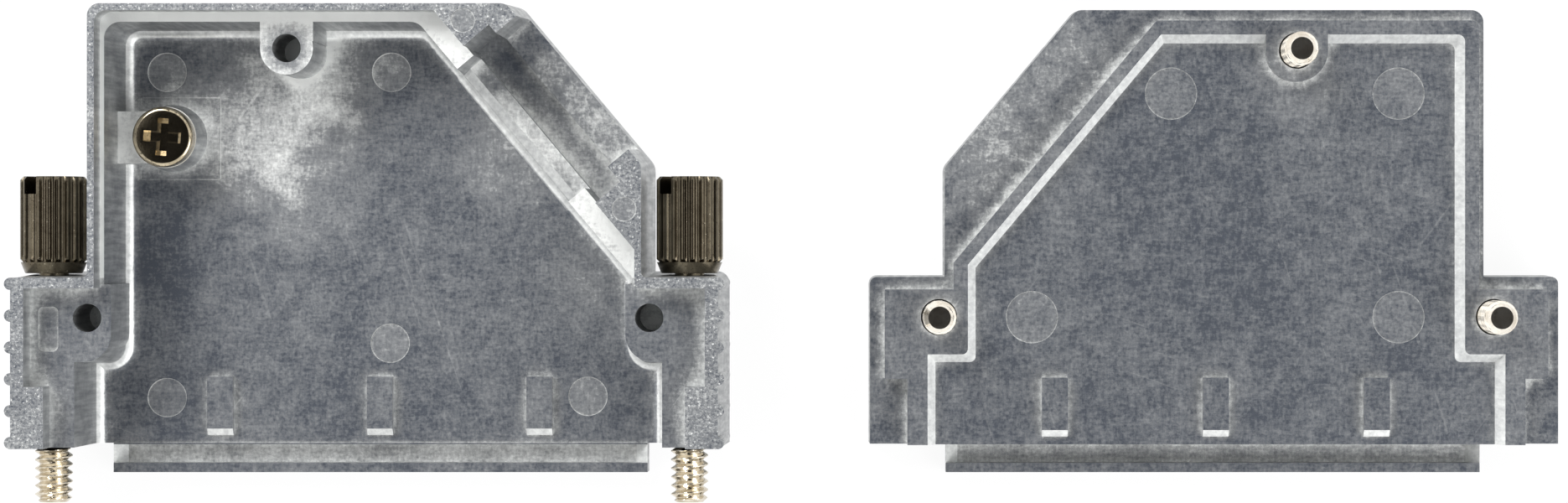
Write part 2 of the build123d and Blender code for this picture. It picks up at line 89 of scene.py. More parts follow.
# Cover screws, in millimetres up from the face of the head
COVER_HEAD_RADIUS = 2.2
COVER_HEAD_LENGTH = 1.4
COVER_HEAD_ROUND = [(0.3, 0.0), (0.08, 0.12), (0.0, 0.35)]
COVER_NECK_RADIUS = 1.05
COVER_NECK_END = 2.4
COVER_THREAD_RADIUS = 1.25
COVER_THREAD = 7.2
COVER_SCREW_LENGTH = 9.4
COVER_TIP_BEVEL = 0.42
COVER_CROSS = (2.7, 0.75, 1.0)
COVER_SCREW_TURNS = {"left": 0.4, "top": 1.1, "right": 2.0}

# Ground screw, in millimetres up from the seat of the head
GROUND_HEAD_RADIUS = 2.25
GROUND_HEAD_HEIGHT = 1.5
GROUND_HEAD_ROUND = 0.35
GROUND_SHANK_RADIUS = 1.25
GROUND_TIP_RADIUS = 0.95
GROUND_SHANK_LENGTH = 4.5
GROUND_TIP_LENGTH = 0.3
GROUND_CROSS = (2.85, 0.82, 1.0)
GROUND_SCREW_TURN = -4

# Shape of a thread and of the flutes: share of a pitch that stays uncut, and how fast the cut falls
THREAD_CREST = 0.12
THREAD_FALL = 1.3
FLUTE_LAND = 0.3
FLUTE_FALL = 1.9

# Parts of one piece run this far into each other, in millimetres
OVERLAP = 0.1
COLLAR_OVERLAP = 0.02

# Soft stains on the castings: middle, radius and change of tone. A middle is measured across from
# the casting's own middle and back from the connector face. On the base, the dark spot at (9.5, 30)
# is painted shadow at the upper end of the cable bay, not a stain.
BASE_STAINS_AND_SHADE = [((-9, 25), 6.0, 0.42), ((-4, 28), 4.0, 0.35), ((-6, 19), 4.5, 0.16), ((-17.5, 14), 4.0, -0.14),
               ((-12, 29.5), 3.0, -0.12), ((10, 22), 4.0, 0.2), ((16, 12), 3.5, 0.12), ((0, 4), 5.0, -0.08),
               ((-15, 3), 4.0, -0.1), ((9.5, 30), 3.0, -0.3), ((16.5, 22), 3.0, 0.2)]
COVER_STAINS = [((-15.5, 24), 3.5, 0.22), ((-11, 28.5), 3.5, 0.2), ((-18, 20), 3.0, 0.2),
                ((6, 27), 3.0, 0.12), ((15, 6), 3.0, -0.06), ((0, 15), 7.0, -0.04)]

# Duller spots on the ledge, where the base half's far boss is
BASE_BOSSES = [((-6, 29.35), 1.9, -0.6)]

# Tone of the level faces, from each height upwards
# and what else sets the two castings apart: the level of the larger stains, the width of the painted
# light at the foot of walls, and the change of tone on top of the ears
BASE_LEVELS = [(0.0, 0.24), (1.6, 0.36), (2.05, 0.17), (2.7, 0.27), (3.1, 0.55), (9.0, 1.0), (11.5, 0.42)]
COVER_LEVELS = [(0.0, 0.24), (2.0, 0.16), (3.4, 0.30), (4.3, 0.26), (4.6, 0.14), (5.7, 0.22)]
BASE_STAINED_LEVEL = 3.3
COVER_STAINED_LEVEL = 3.6
BASE_PALE_EDGE = 1.8
COVER_PALE_EDGE = 1.2
BASE_EAR_TONE = -0.75
COVER_EAR_TONE = 0.0

# Heights between which the floors end and the ledge begins, and the ledge ends and the rim begins
FLOOR_TO_LEDGE = (8.5, 9.5)
LEDGE_TO_RIM = (10.5, 11.5)

# How far the edges of the stains and the painted shadow wander, in millimetres
SPOT_WANDER = 3.5

# Worn plating
WORN_BROWN = (0.04, 0.03, 0.02)
BRIGHT_SPECK = (0.9, 0.82, 0.65)

# Scratches: direction and place of each set, and how much paler they are
SCRATCH_SETS = [(0.35, 1.0), (1.25, 7.0), (2.2, 13.0)]
SCRATCH_TONE = 0.1

# The table's half width in metres, and the gap under the parts in millimetres
TABLE_REACH = 1.5
TABLE_GAP = 0.02

# Strength of the surround, how much weaker it is straight above, and where that starts and ends
SURROUND = 1.3
SURROUND_LOSS_ABOVE = 1.28
OVERHEAD = (0.86, 0.97)

# Area lamps: name, place, side and power; all look at the origin
LAMPS = [("key", (-0.25, 0.30, 0.35), 0.25, 2.2), ("fill", (0.35, -0.2, 0.30), 0.3, 1.2)]


def centre_of(node):
    """Middle of a node's box at rest."""
    low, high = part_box(node)
    return (Vector(low) + Vector(high)) / 2


class HoodSettings(bpy.types.PropertyGroup):
    """Sizes and colours that a user would change."""

    thread_pitch: bpy.props.FloatProperty(
        name="Jackscrew pitch", description="Pitch of the jackscrew thread", default=0.635 * MM,
        unit="LENGTH", precision=5)
    thread_depth: bpy.props.FloatProperty(
        name="Jackscrew thread depth", description="Depth of the jackscrew thread", default=0.36 * MM,
        unit="LENGTH", precision=5)
    small_pitch: bpy.props.FloatProperty(
        name="Cover screw pitch", description="Pitch of the cover screws' thread", default=0.45 * MM,
        unit="LENGTH", precision=5)
    small_depth: bpy.props.FloatProperty(
        name="Cover screw thread depth", description="Depth of the cover screws' thread", default=0.22 * MM,
        unit="LENGTH", precision=5)
    flutes: bpy.props.IntProperty(
        name="Flutes", description="Straight flutes round a thumb head", default=21, min=8, max=40)
    flute_depth: bpy.props.FloatProperty(
        name="Flute depth", description="Depth of the flutes", default=0.24 * MM, unit="LENGTH", precision=5)
    # Near walls this pale tone is painted light at their foot; on ledges and edges it is the frosted zinc
    # itself
    zinc_light: bpy.props.FloatVectorProperty(
        name="Zinc, light", description="Frosted zinc near walls and edges", subtype="COLOR",
        default=(0.93, 0.94, 0.92), min=0, max=1)
    zinc_dark: bpy.props.FloatVectorProperty(
        name="Zinc, dark", description="Stained zinc in the middle of the floors", subtype="COLOR",
        default=(0.085, 0.095, 0.115), min=0, max=1)
    nickel: bpy.props.FloatVectorProperty(
        name="Nickel", description="Plating of the cover screws", subtype="COLOR",
        default=(0.88, 0.83, 0.74), min=0, max=1)
    dull_nickel: bpy.props.FloatVectorProperty(
        name="Dull nickel", description="Plating of the jackscrews' threads", subtype="COLOR",
        default=(0.76, 0.70, 0.59), min=0, max=1)
    # Painted shade: the thumb heads' nickel gets this dark colour in place of the dark surroundings that
    # their plating reflects
    head_painted_dark: bpy.props.FloatVectorProperty(
        name="Thumb heads", description="Darkened plating of the thumb heads", subtype="COLOR",
        default=(0.14, 0.12, 0.085), min=0, max=1)


# Small helpers for node trees


def add_node(tree, kind, **options):
    """A node with its options set."""
    node = tree.nodes.new(kind)
    for key, value in options.items():
        setattr(node, key, value)
    return node


def math_node(tree, operation, first, second=None, clamp=False):
    """The output of a Math node; each input is a socket or a number."""
    node = tree.nodes.new("ShaderNodeMath")
    node.operation = operation
    node.use_clamp = clamp
    for index, value in enumerate((first, second)):
        if value is None:
            continue
        if isinstance(value, (int, float)):
            node.inputs[index].default_value = value
        else:
            tree.links.new(value, node.inputs[index])
    return node.outputs[0]


def step(tree, value, low, high):
    """0 below low, 1 above high and a smooth change between."""
    node = add_node(tree, "ShaderNodeMapRange", interpolation_type="SMOOTHSTEP")
    tree.links.new(value, node.inputs["Value"])
    node.inputs["From Min"].default_value = low
    node.inputs["From Max"].default_value = high
    return node.outputs["Result"]


def band(tree, value, low, high, soft):
    """1 between low and high, 0 outside, with soft ends."""
    return math_node(tree, "MULTIPLY", step(tree, value, low - soft, low), math_node(
        tree, "SUBTRACT", 1.0, step(tree, value, high, high + soft)))


def mix_colour(tree, factor, first, second):
    """The output of a colour Mix node; each colour is a socket or three numbers."""
    node = add_node(tree, "ShaderNodeMix", data_type="RGBA")
    tree.links.new(factor, node.inputs[0])
    for index, colour in ((6, first), (7, second)):
        if isinstance(colour, bpy.types.NodeSocket):
            tree.links.new(colour, node.inputs[index])
        else:
            node.inputs[index].default_value = (*colour, 1.0)
    return node.outputs[2]


def noise(tree, vector, scale, detail=4.0, roughness=0.55, distortion=0.0):
    """Grey noise; the scale is in bumps a millimetre."""
    node = add_node(tree, "ShaderNodeTexNoise")
    tree.links.new(vector, node.inputs["Vector"])
    node.inputs["Scale"].default_value = scale
    node.inputs["Detail"].default_value = detail
    node.inputs["Roughness"].default_value = roughness
    node.inputs["Distortion"].default_value = distortion
    return node.outputs["Fac"]


def millimetres(tree, stretch=(1, 1, 1)):
    """Object coordinates in millimetres, shrunk along each axis by the stretch."""
    coordinate = add_node(tree, "ShaderNodeTexCoord")
    mapping = add_node(tree, "ShaderNodeMapping")
    mapping.inputs["Scale"].default_value = [1000.0 / s for s in stretch]
    tree.links.new(coordinate.outputs["Object"], mapping.inputs["Vector"])
    return mapping.outputs["Vector"]


def new_material(name):
    """An empty material and its principled shader."""
    material = bpy.data.materials.new(name)
    material.use_nodes = True
    tree = material.node_tree
    shader = tree.nodes["Principled BSDF"]
    return material, tree, shader


def tone_ramp(tree, value, stops, interpolation="LINEAR"):
    """A colour ramp over a value; each stop is a position and a grey or a colour."""
    node = tree.nodes.new("ShaderNodeValToRGB")
    node.color_ramp.interpolation = interpolation
    while len(node.color_ramp.elements) < len(stops):
        node.color_ramp.elements.new(0.5)
    for element, (position, _) in zip(node.color_ramp.elements, stops):
        element.position = position
    for element, (_, colour) in zip(node.color_ramp.elements, stops):
        grey = isinstance(colour, (int, float))
        element.color = (colour, colour, colour, 1.0) if grey else (*colour, 1.0)
    tree.links.new(value, node.inputs[0])
    return node.outputs["Color"]


def turned_place(tree, place, turn, stretch, shift):
    """A place turned about z, then shrunk along x and y, for marks that run one way."""
    turn_node = add_node(tree, "ShaderNodeVectorRotate", rotation_type="Z_AXIS")
    turn_node.inputs["Angle"].default_value = turn
    tree.links.new(place, turn_node.inputs["Vector"])
    mapping = add_node(tree, "ShaderNodeMapping")
    mapping.inputs["Location"].default_value = (shift, 2 * shift, 0)
    mapping.inputs["Scale"].default_value = (1 / stretch[0], 1 / stretch[1], 1)
    tree.links.new(turn_node.outputs[0], mapping.inputs["Vector"])
    return mapping.outputs[0]


def swing(tree, value, amount):
    """A noise value turned into a plus or minus change of tone."""
    return math_node(tree, "MULTIPLY", math_node(tree, "SUBTRACT", value, 0.5), amount)


def total(tree, values):
    """The sum of several values."""
    result = values[0]
    for value in values[1:]:
        result = math_node(tree, "ADD", result, value)
    return result


def product(tree, values):
    """The product of several values."""
    result = values[0]
    for value in values[1:]:
        result = math_node(tree, "MULTIPLY", result, value)
    return result


def add_bump(tree, shader, relief, strength, depth):
    """Fine relief in the shading; the depth is in millimetres."""
    bump = add_node(tree, "ShaderNodeBump")
    bump.inputs["Strength"].default_value = strength
    bump.inputs["Distance"].default_value = depth * MM
    tree.links.new(relief, bump.inputs["Height"])
    tree.links.new(bump.outputs["Normal"], shader.inputs["Normal"])


# Finishes


def soft_spots(tree, place, spots):
    """Change of tone from soft spots: stains, and on the base one painted shadow; each is a middle, a radius
    and a tone, in millimetres.
    """
    level_place = add_node(tree, "ShaderNodeVectorMath", operation="MULTIPLY")
    tree.links.new(place, level_place.inputs[0])
    level_place.inputs[1].default_value = (1, 1, 0)
    changes = [0.0]
    for (x, y), radius, tone in spots:
        gap = add_node(tree, "ShaderNodeVectorMath", operation="DISTANCE")
        tree.links.new(level_place.outputs[0], gap.inputs[0])
        gap.inputs[1].default_value = (x, y, 0)
        inside = step(tree, gap.outputs["Value"], radius * 1.5, radius * 0.4)
        changes.append(math_node(tree, "MULTIPLY", inside, tone))
    return total(tree, changes)


def floor_stains_and_shade(tree, place, spots):
    """Soft stains, and on the base one painted shadow, whose edges wander."""
    wander = add_node(tree, "ShaderNodeTexNoise")
    wander.inputs["Scale"].default_value = 0.35
    tree.links.new(place, wander.inputs["Vector"])
    drift = add_node(tree, "ShaderNodeVectorMath", operation="MULTIPLY_ADD")
    tree.links.new(wander.outputs["Color"], drift.inputs[0])
    drift.inputs[1].default_value = (2 * SPOT_WANDER, 2 * SPOT_WANDER, 0)
    drift.inputs[2].default_value = (-SPOT_WANDER, -SPOT_WANDER, 0)
    shaken = add_node(tree, "ShaderNodeVectorMath", operation="ADD")
    tree.links.new(place, shaken.inputs[0])
    tree.links.new(drift.outputs[0], shaken.inputs[1])
    return soft_spots(tree, shaken.outputs[0], spots)


def painted_light_at_walls(tree, width):
    """Painted light: a paler tone at the foot of walls, pads and bosses, taken from an ambient-occlusion
    node.
    """
    near_wall = add_node(tree, "ShaderNodeAmbientOcclusion", samples=8)
    near_wall.inputs["Distance"].default_value = width * MM
    return product(tree, [step(tree, near_wall.outputs["AO"], 0.93, 0.5), 0.5])


def scratches(tree, place):
    """Hairline scratches, a few in each of three directions."""
    sets = []
    for turn, shift in SCRATCH_SETS:
        stretched = turned_place(tree, place, turn, (22, 0.35), shift)
        lines = noise(tree, stretched, scale=1.0, detail=1.0, roughness=0.4, distortion=0.15)
        clouds = noise(tree, turned_place(tree, place, turn, (1, 1), shift + 5), scale=0.2, detail=1.0)
        thin = step(tree, lines, 0.70, 0.74)
        here = step(tree, clouds, 0.56, 0.62)
        sets.append(product(tree, [thin, here, SCRATCH_TONE]))
    return total(tree, sets)


def sheared_metal(tree, rim, flecks):
    """Pits and bright flecks where the rim was trimmed."""
    pits = product(tree, [rim, step(tree, flecks, 0.50, 0.38), -0.3])
    bright = product(tree, [rim, step(tree, flecks, 0.60, 0.68), 0.6])
    return total(tree, [pits, bright])


def surface_lean(tree):
    """Whether a surface is level and facing up, steep, or sloped at all, each from 0 to 1."""
    geometry = add_node(tree, "ShaderNodeNewGeometry")
    normal = add_node(tree, "ShaderNodeSeparateXYZ")
    tree.links.new(geometry.outputs["Normal"], normal.inputs[0])
    up = normal.outputs["Z"]
    lean = math_node(tree, "ABSOLUTE", up)
    return step(tree, up, 0.9, 0.985), step(tree, lean, 0.85, 0.5), step(tree, lean, 0.12, 0.34)


def zinc_casting(name, levels, stained, pale_edge, spots, bosses, ears_end, ear_tone):
    """Bare zinc: stained floors with one painted shadow, painted light at the foot of walls, frosted ledges,
    streaked walls painted paler as lit, and a speckled, sheared rim.

    Levels give the tone of each flat by its height, and stained is the height of the flat with
    larger stains. Spots lie on the floors and bosses on the ledge. The ears' tops, which end at
    ears_end, change by ear_tone.
    """
    material, tree, shader = new_material(name)
    place = millimetres(tree)
    split = add_node(tree, "ShaderNodeSeparateXYZ")
    tree.links.new(place, split.inputs[0])
    height = split.outputs["Z"]
    flat, steep, slope = surface_lean(tree)
    rim = product(tree, [flat, band(tree, height, RIM_HEIGHT - 0.06, RIM_HEIGHT + 0.06, 0.03)])

    # Fine grain with a faint weave, soft larger patches, flecks, and draw marks down the walls
    grain = noise(tree, place, scale=4.2, detail=4.0, roughness=0.7)
    weave_x = noise(tree, turned_place(tree, place, 0.0, (3.5, 1), 3.0), scale=4.0, detail=2.0, roughness=0.6)
    weave_y = noise(tree, turned_place(tree, place, 0.0, (1, 3.5), 9.0), scale=4.0, detail=2.0, roughness=0.6)
    patch = noise(tree, place, scale=0.55, detail=5.0, roughness=0.65, distortion=0.3)
    blotch = noise(tree, place, scale=0.16, detail=3.0, roughness=0.55)
    flecks = noise(tree, place, scale=5.0, detail=3.0, roughness=0.75)
    streaks = noise(tree, millimetres(tree, (1, 1, 14)), scale=2.6, detail=3.0, roughness=0.6)

    # Flats: a tone for each level, changed by stains, one painted shadow, painted light at the foot of walls,
    # bosses, ears, rim and scratches
    level = tone_ramp(tree, math_node(tree, "DIVIDE", height, TALLEST), [
        (low / TALLEST, tone) for low, tone in levels], "CONSTANT")
    on_floor = step(tree, height, *reversed(FLOOR_TO_LEDGE))
    off_floor = step(tree, height, *FLOOR_TO_LEDGE)
    on_ledge = product(tree, [off_floor, step(tree, height, *reversed(LEDGE_TO_RIM))])
    on_ears = step(tree, split.outputs["Y"], ears_end + 0.1, ears_end - 0.1)
    ledge_change = total(tree, [product(tree, [on_ears, ear_tone]), soft_spots(tree, place, bosses)])
    on_stained = band(tree, height, stained - 0.1, stained + 0.1, 0.05)
    flat_tone = total(tree, [
        level,
        painted_light_at_walls(tree, pale_edge),
        product(tree, [floor_stains_and_shade(tree, place, spots), on_floor]),
        product(tree, [ledge_change, on_ledge]),
        product(tree, [step(tree, patch, 0.42, 0.62), on_stained, -0.3]),
        sheared_metal(tree, rim, flecks),
        scratches(tree, place),
        swing(tree, grain, 0.62),
        swing(tree, weave_x, 0.36),
        swing(tree, weave_y, 0.36),
        swing(tree, patch, 0.5),
        swing(tree, blotch, 0.25),
    ])

    # Painted light: walls are paler than the floors and sloped walls paler still, for the light that falls on
    # them; the streaks and patches are the zinc's own
    wall_tone_and_light = total(tree, [0.52, product(tree, [slope, 0.28]), swing(tree, streaks, 0.5),
                             swing(tree, patch, 0.35)])
    on_wall = math_node(tree, "SUBTRACT", 1.0, flat)
    tone = total(tree, [product(tree, [flat_tone, flat]), product(tree, [wall_tone_and_light, on_wall])])
    settings = bpy.context.scene.hood
    dark, light = tuple(settings.zinc_dark), tuple(settings.zinc_light)
    middle = [0.62 * (low + 0.38 * high) for low, high in zip(dark, light)]
    colour = tone_ramp(tree, tone, [(0.0, dark), (0.45, middle), (1.0, light)])
    tree.links.new(colour, shader.inputs["Base Color"])

    metallic = math_node(tree, "SUBTRACT", 0.9, product(tree, [steep, slope, 0.6]))
    tree.links.new(metallic, shader.inputs["Metallic"])
    roughness = total(tree, [0.36, product(tree, [grain, 0.24])])
    tree.links.new(roughness, shader.inputs["Roughness"])
    relief = total(tree, [swing(tree, grain, 0.7), swing(tree, patch, 0.4), product(tree, [flecks, rim, 1.6]),
                          product(tree, [streaks, steep, 0.8])])
    add_bump(tree, shader, relief, strength=0.4, depth=0.05)
    return material


def plated_steel(name, colour, dark, speckle, smooth):
    """Nickel plating over steel, warm, with brown spots where it is worn."""
    material, tree, shader = new_material(name)
    place = millimetres(tree)
    spots = noise(tree, place, scale=5.0, detail=4.0, roughness=0.7)
    film = noise(tree, place, scale=1.1, detail=3.0, roughness=0.6)
    base = mix_colour(tree, product(tree, [step(tree, film, 0.35, 0.7), 0.6]), colour, dark)
    worn = product(tree, [step(tree, spots, 0.56, 0.68), speckle])
    base = mix_colour(tree, worn, base, WORN_BROWN)
    bright = product(tree, [step(tree, spots, 0.34, 0.28), speckle])
    base = mix_colour(tree, bright, base, BRIGHT_SPECK)
    tree.links.new(base, shader.inputs["Base Color"])
    shader.inputs["Metallic"].default_value = 1.0
    roughness = total(tree, [smooth, product(tree, [spots, 0.16])])
    tree.links.new(roughness, shader.inputs["Roughness"])
    add_bump(tree, shader, spots, strength=0.3, depth=0.02)
    return material


# Turned forms made by node trees


def geometry_tree(name, inputs):
    """A geometry node group with these named float inputs, and its input and output nodes."""
    tree = bpy.data.node_groups.new(name, "GeometryNodeTree")
    tree.interface.new_socket("Geometry", in_out="OUTPUT", socket_type="NodeSocketGeometry")
    sockets = {}
    for label, value in inputs.items():
        socket = tree.interface.new_socket(label, in_out="INPUT", socket_type="NodeSocketFloat")
        socket.default_value = value
        sockets[label] = socket.identifier
    return tree, tree.nodes.new("NodeGroupInput"), tree.nodes.new("NodeGroupOutput"), sockets


def thread_cut(tree, given, turns, z):
    """How deep a screw thread is at a point, from 0 on the crest to 1 at the root."""
    along = math_node(tree, "SUBTRACT", math_node(tree, "DIVIDE", z, given.outputs["Pitch"]), turns)
    wave = math_node(tree, "PINGPONG", product(tree, [along, 2.0]), 1.0)
    cut = math_node(tree, "SUBTRACT", wave, THREAD_CREST)
    return math_node(tree, "MULTIPLY", cut, THREAD_FALL, clamp=True)


def flute_cut(tree, given, turns, z):
    """How deep straight round flutes are at a point, from 0 on the land to 1 at the bottom."""
    around = product(tree, [turns, given.outputs["Count"]])
    wave = math_node(tree, "PINGPONG", product(tree, [around, 2.0]), 1.0)
    wave = math_node(tree, "MULTIPLY", math_node(tree, "SUBTRACT", wave, FLUTE_LAND), FLUTE_FALL, clamp=True)
    return product(tree, [wave, math_node(tree, "SUBTRACT", 2.0, wave)])


def finish_tree(tree, mesh, out, material):
    """Realize Instances and Set Material at the end of a tree."""
    realize = tree.nodes.new("GeometryNodeRealizeInstances")
    paint = tree.nodes.new("GeometryNodeSetMaterial")
    paint.inputs["Material"].default_value = material
    tree.links.new(mesh, realize.inputs[0])
    tree.links.new(realize.outputs[0], paint.inputs[0])
    tree.links.new(paint.outputs[0], out.inputs[0])


def radial_form(name, cut_rule, inputs, sides, rings, material):
    """A round bar about z whose surface a rule cuts in: a screw thread or straight flutes."""
    tree, given, out, sockets = geometry_tree(name, inputs)
    cylinder = tree.nodes.new("GeometryNodeMeshCylinder")
    cylinder.fill_type = "TRIANGLE_FAN"
    cylinder.inputs["Vertices"].default_value = sides
    cylinder.inputs["Side Segments"].default_value = rings
    tree.links.new(given.outputs["Radius"], cylinder.inputs["Radius"])
    tree.links.new(given.outputs["Length"], cylinder.inputs["Depth"])

    # Where each point is: turns about z, distance from z and distance from the nearer end
    position = tree.nodes.new("GeometryNodeInputPosition")
    split = tree.nodes.new("ShaderNodeSeparateXYZ")
    tree.links.new(position.outputs[0], split.inputs[0])
    x, y, z = split.outputs
    turns = math_node(tree, "DIVIDE", math_node(tree, "ARCTAN2", y, x), 2 * math.pi)
    radius = math_node(tree, "SQRT", total(tree, [product(tree, [x, x]), product(tree, [y, y])]))
    half_length = product(tree, [given.outputs["Length"], 0.5])
    from_end = math_node(tree, "SUBTRACT", half_length, math_node(tree, "ABSOLUTE", z))

    # The rule's cut, or the bevel at the ends where that is deeper
    cut = product(tree, [cut_rule(tree, given, turns, z), given.outputs["Cut"]])
    share = math_node(tree, "DIVIDE", from_end, given.outputs["Chamfer"], clamp=True)
    bevel = product(tree, [math_node(tree, "SUBTRACT", 1.0, share, clamp=True), given.outputs["Chamfer"]])
    cut = math_node(tree, "MAXIMUM", cut, bevel)

    # Points on the side move in, and the middles of the ends stay
    safe_radius = math_node(tree, "MAXIMUM", radius, 1e-7)
    scale = math_node(tree, "DIVIDE", math_node(tree, "SUBTRACT", radius, cut), safe_radius)
    on_side = math_node(tree, "GREATER_THAN", radius, product(tree, [given.outputs["Radius"], 0.9]))
    scale = total(tree, [product(tree, [scale, on_side]), math_node(tree, "SUBTRACT", 1.0, on_side)])
    join = tree.nodes.new("ShaderNodeCombineXYZ")
    tree.links.new(product(tree, [x, scale]), join.inputs[0])
    tree.links.new(product(tree, [y, scale]), join.inputs[1])
    tree.links.new(z, join.inputs[2])
    move = tree.nodes.new("GeometryNodeSetPosition")
    tree.links.new(cylinder.outputs["Mesh"], move.inputs["Geometry"])
    tree.links.new(join.outputs[0], move.inputs["Position"])
    finish_tree(tree, move.outputs[0], out, material)
    return tree, sockets


def grown(name, tree, sockets, values):
    """The plain mesh that a node tree makes from these inputs."""
    start = bpy.data.objects.new(name, bpy.data.meshes.new(name))
    bpy.context.scene.collection.objects.link(start)
    modifier = start.modifiers.new("Form", "NODES")
    modifier.node_group = tree
    for label, value in values.items():
        modifier[sockets[label]] = value
    graph = bpy.context.evaluated_depsgraph_get()
    mesh = bpy.data.meshes.new_from_object(start.evaluated_get(graph))
    bpy.data.objects.remove(start)
    return mesh


def turned(profile, sides=72):
    """A closed solid of revolution about z from (radius, height) points in millimetres, bottom to top."""
    form = bmesh.new()
    rings = []
    for radius, height in profile:
        if radius == 0:
            rings.append([form.verts.new((0, 0, height))])
            continue
        ring = []
        for i in range(sides):
            angle = 2 * math.pi * i / sides
            ring.append(form.verts.new((radius * math.cos(angle), radius * math.sin(angle), height)))
        rings.append(ring)
    for lower, upper in zip(rings, rings[1:]):
        for i in range(sides):
            j = (i + 1) % sides
            if len(lower) == 1:
                form.faces.new((lower[0], upper[j], upper[i]))
            elif len(upper) == 1:
                form.faces.new((lower[i], lower[j], upper[0]))
            else:
                form.faces.new((lower[i], lower[j], upper[j], upper[i]))
    bmesh.ops.scale(form, vec=(MM, MM, MM), verts=form.verts)
    bmesh.ops.recalc_face_normals(form, faces=form.faces)
    mesh = bpy.data.meshes.new("turned")
    form.to_mesh(mesh)
    form.free()
    return mesh


def object_of(mesh, name):
    """A new object in the scene with this mesh."""
    made = bpy.data.objects.new(name, mesh)
    bpy.context.scene.collection.objects.link(made)
    return made


def cut_out(mesh, tool_mesh):
    """A new mesh: the first with the second cut out of it."""
    target = object_of(mesh, "target")
    tool = object_of(tool_mesh, "tool")
    modifier = target.modifiers.new("Cut", "BOOLEAN")
    modifier.operation = "DIFFERENCE"
    modifier.solver = "EXACT"
    modifier.object = tool
    graph = bpy.context.evaluated_depsgraph_get()
    result = bpy.data.meshes.new_from_object(target.evaluated_get(graph))
    if len(result.polygons) in (0, len(mesh.polygons)):
        raise RuntimeError(f"{tool_mesh.name} cut nothing out of {mesh.name}")
    bpy.data.objects.remove(target)
    bpy.data.objects.remove(tool)
    return result


def slot_tool(width, length, depth, top):
    """A block, as a cutting tool for a driver slot in a face at this height; sizes in millimetres."""
    form = bmesh.new()
    bmesh.ops.create_cube(form, size=MM)
    bmesh.ops.scale(form, vec=(width, length, 2 * depth), verts=form.verts)
    bmesh.ops.translate(form, vec=(0, 0, top * MM), verts=form.verts)
    mesh = bpy.data.meshes.new("driver_slot")
    form.to_mesh(mesh)
    form.free()
    return mesh


def shade_by_angle(mesh, degrees=30.0):
    """Smooth shading with sharp edges above an angle."""
    mesh.shade_smooth()
    mesh.set_sharp_from_angle(angle=math.radians(degrees))


def joined(name, parts, materials, placement):
    """One object from (mesh, material number) pairs, moved to its place in the mesh itself."""
    form = bmesh.new()
    for mesh, number in parts:
        before = len(form.faces)
        form.from_mesh(mesh)
        form.faces.ensure_lookup_table()
        for face in form.faces[before:]:
            face.material_index = number
    bmesh.ops.transform(form, matrix=placement, verts=form.verts)
    mesh = bpy.data.meshes.new(name)
    form.to_mesh(mesh)
    form.free()
    if not mesh.polygons:
        raise RuntimeError(f"{name} came out empty")
    for material in materials:
        mesh.materials.append(material)
    shade_by_angle(mesh)
    return object_of(mesh, name)


def cross_tool(arm_length, arm_width, depth, top):
    """A tapering cross, as a cutting tool that reaches down from a height; sizes in millimetres."""
    length, width = arm_length / 2, arm_width / 2
    corner = [(length, -width), (length, width), (width, width)]
    turns = [Matrix.Rotation(math.pi / 2 * i, 2) for i in range(4)]
    plan = [turn @ Vector(point) for turn in turns for point in corner]
    form = bmesh.new()
    rings = [[form.verts.new((*(point * scale), top + z)) for point in plan]
             for z, scale in ((-depth, 0.72), (depth / 2, 1.1))]
    form.faces.new(rings[0][::-1])
    form.faces.new(rings[1])
    for i in range(len(plan)):
        j = (i + 1) % len(plan)
        form.faces.new((rings[0][i], rings[0][j], rings[1][j], rings[1][i]))
    bmesh.ops.scale(form, vec=(MM, MM, MM), verts=form.verts)
    mesh = bpy.data.meshes.new("cross")
    form.to_mesh(mesh)
    form.free()
    return mesh


def settle(piece, body, nodes):
    """The lines that every new piece needs: what it rides on and what it stands for."""
    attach(piece, body)
    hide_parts(*nodes)


class HOOD_OT_castings(bpy.types.Operator):
    """Gives both die-cast halves their bare zinc finish"""

    bl_idname = "hood.castings"
    bl_label = "Castings"

    def execute(self, context):
        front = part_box("base_shell")[0].y / MM + LIP_WIDTH
        # Each casting is dressed by where its parts lie from the connector face and its own middle
        base_spots = self.in_place("base_shell", front, BASE_STAINS_AND_SHADE)
        base_bosses = self.in_place("base_shell", front, BASE_BOSSES)
        cover_spots = self.in_place("cover_shell", front, COVER_STAINS)
        ears_end = front + EAR_LENGTH
        base = zinc_casting("zinc_base", BASE_LEVELS, BASE_STAINED_LEVEL, BASE_PALE_EDGE, base_spots,
                            base_bosses, ears_end, BASE_EAR_TONE)
        cover = zinc_casting("zinc_cover", COVER_LEVELS, COVER_STAINED_LEVEL, COVER_PALE_EDGE, cover_spots,
                             [], ears_end, COVER_EAR_TONE)
        for node, material in (("base_shell", base), ("cover_shell", cover)):
            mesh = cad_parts[node].data
            if not mesh.polygons:
                raise RuntimeError(f"{node} has no faces to dress")
            mesh.materials.clear()
            mesh.materials.append(material)
        return {"FINISHED"}

    def in_place(self, node, front, spots):
        """Spots moved from the casting's own middle and front to their place in the frame."""
        middle = centre_of(node).x / MM
        return [((middle + x, front + y), radius, tone) for (x, y), radius, tone in spots]


